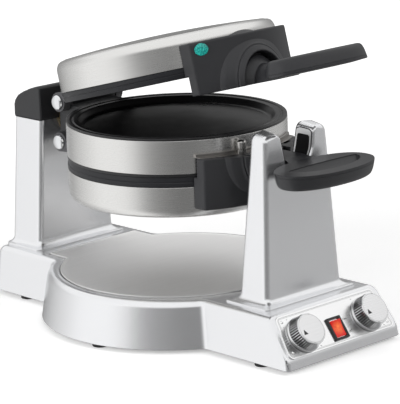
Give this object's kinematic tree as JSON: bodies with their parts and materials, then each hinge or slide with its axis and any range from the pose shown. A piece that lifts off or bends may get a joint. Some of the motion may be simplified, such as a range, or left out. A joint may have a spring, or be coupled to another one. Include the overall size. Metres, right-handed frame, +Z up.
{
  "type": "waffle maker",
  "caption": "Rotating double waffle and omelet maker: a round two-chamber drum turns between a forked front tower and a rear tower over a base with a drip tray, dials and a switch.",
  "frame": {"origin": "on the table under the feet, at the middle of the whole outline, lid standing open as at rest", "axes": "+X to the right seen from the control panel, +Y from the control panel to the rear tower, +Z up"},
  "size_m": [0.278, 0.438, 0.3024],
  "materials": {
    "silver_paint": "satin silver paint on moulded plastic",
    "black_plastic": "heat resistant plastic, fine matt",
    "handle_black": "heat resistant plastic, satin",
    "liner_grey": "satin grey plastic",
    "arm_grey": "satin dark grey",
    "brushed_steel": "fine brushed",
    "panel_steel": "polished",
    "non_stick": "dark non-stick coating on cast aluminium",
    "chrome": "polished",
    "knob_chrome": "chromed plastic",
    "rubber": "matt",
    "bearing": "plain sintered",
    "thermostat_case": "plain",
    "switch_black": "gloss black",
    "rocker_red": "translucent red, lit",
    "screw_steel": "plain",
    "terminal_white": "ceramic white",
    "heater_sheath": "heat browned sheath",
    "lens_green": "coloured translucent",
    "lamp_glass": "clear"
  },
  "bodies": {
    "base": {"base_housing": "silver_paint", "bottom_cover": "black_plastic", "drip_tray": "brushed_steel", "control_panel": "panel_steel", "front_tower": "silver_paint", "fork_liner": "liner_grey", "fork_pads": "black_plastic", "rear_tower": "silver_paint", "rear_tower_cap": "black_plastic", "rear_bearing_bush": "bearing", "thermostat_left": "thermostat_case", "thermostat_right": "thermostat_case", "power_switch": "switch_black", "feet": "rubber", "bottom_screws": "screw_steel", "cord_gland": "rubber", "terminal_block": "terminal_white"},
    "drum": {"centre_band": "brushed_steel", "centre_frame": "black_plastic", "omelet_plate_lower": "non_stick", "waffle_plate_upper": "non_stick", "centre_element_upper": "heater_sheath", "centre_element_lower": "heater_sheath", "heat_shield": "brushed_steel", "rear_shaft": "screw_steel", "shaft_collar": "screw_steel", "hinge_bracket": "black_plastic", "upper_hinge_pin": "chrome", "lower_hinge_pin": "chrome", "chamber_catch": "chrome", "block_trim": "chrome", "lower_lid_shell": "brushed_steel", "lower_lid_ring": "black_plastic", "waffle_plate_lower": "non_stick", "lower_lid_element": "heater_sheath", "lower_handle_block": "handle_black", "lower_handle": "handle_black", "lower_lid_hinge_arms": "arm_grey", "lower_handle_screws": "screw_steel"},
    "upper_lid": {"upper_lid_shell": "brushed_steel", "upper_lid_ring": "black_plastic", "omelet_plate_upper": "non_stick", "upper_lid_element": "heater_sheath", "upper_handle_block": "handle_black", "upper_handle": "handle_black", "upper_lid_hinge_arms": "arm_grey", "upper_handle_screws": "screw_steel", "ready_light_lens": "lens_green", "ready_lamp": "lamp_glass"},
    "left_knob": {"knob_left": "knob_chrome", "knob_cap_left": "chrome", "knob_shaft_left": "screw_steel"},
    "right_knob": {"knob_right": "knob_chrome", "knob_cap_right": "chrome", "knob_shaft_right": "screw_steel"},
    "rocker": {"switch_rocker": "rocker_red"}
  },
  "joints": [
    {"name": "drum_flip", "type": "hinge", "parent": "base", "child": "drum", "pos_m": [0, 0.011, 0.185], "axis": [0, 1, 0], "range_deg": [0, 105]},
    {"name": "upper_lid_hinge", "type": "hinge", "parent": "drum", "child": "upper_lid", "pos_m": [0, 0.144, 0.2055], "axis": [1, 0, 0], "range_deg": [-79.4, 14.6]},
    {"name": "left_knob_turn", "type": "hinge", "parent": "base", "child": "left_knob", "pos_m": [-0.0435, -0.1966, 0.02881], "axis": [0, 0.7962, -0.6051], "range_deg": [0, 270]},
    {"name": "right_knob_turn", "type": "hinge", "parent": "base", "child": "right_knob", "pos_m": [0.0435, -0.1966, 0.02881], "axis": [0, 0.7962, -0.6051], "range_deg": [0, 270]},
    {"name": "rocker_tilt", "type": "hinge", "parent": "base", "child": "rocker", "pos_m": [0, -0.19917, 0.02544], "axis": [1, 0, 0], "range_deg": [-14, 0]}
  ]
}
